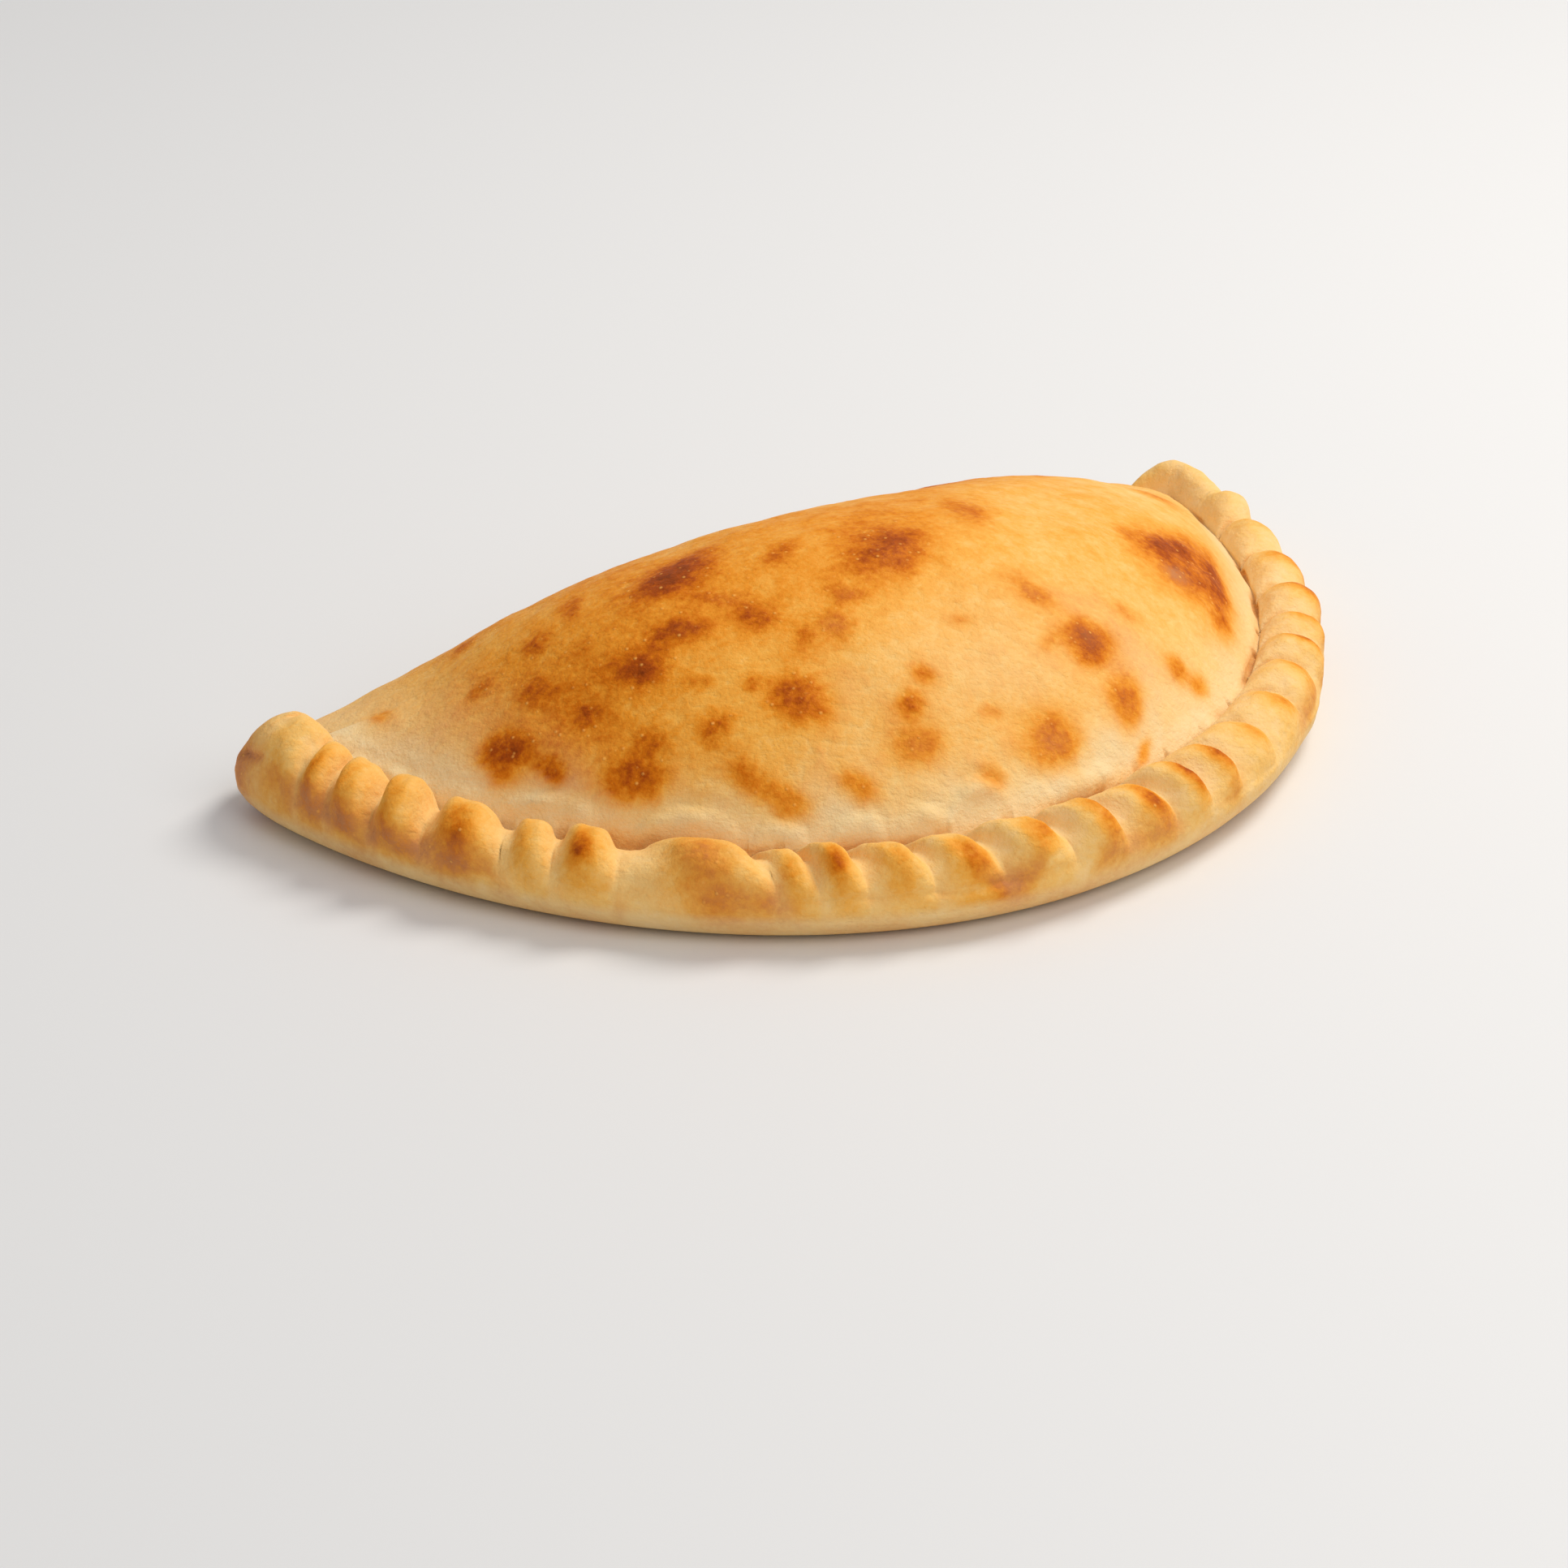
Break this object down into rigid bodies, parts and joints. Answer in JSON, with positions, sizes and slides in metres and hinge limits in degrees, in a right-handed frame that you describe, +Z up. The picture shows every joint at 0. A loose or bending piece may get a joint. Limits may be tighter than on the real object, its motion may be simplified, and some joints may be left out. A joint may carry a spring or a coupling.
{
  "type": "calzone",
  "caption": "Whole baked calzone: half-moon of folded dough with a domed, blistered golden crust, a rope-crimped curved rim and a plain rounded fold along the back.",
  "frame": {"origin": "middle of the bottom of the calzone's box, on the surface it lies on", "axes": "+X runs from the left tip to the right tip, the crimped arc faces -Y, the plain fold faces +Y, +Z is up"},
  "size_m": [0.2768, 0.1608, 0.0572],
  "materials": {
    "baked_crust": "matte"
  },
  "bodies": {
    "root": {"calzone": "baked_crust"}
  },
  "joints": []
}
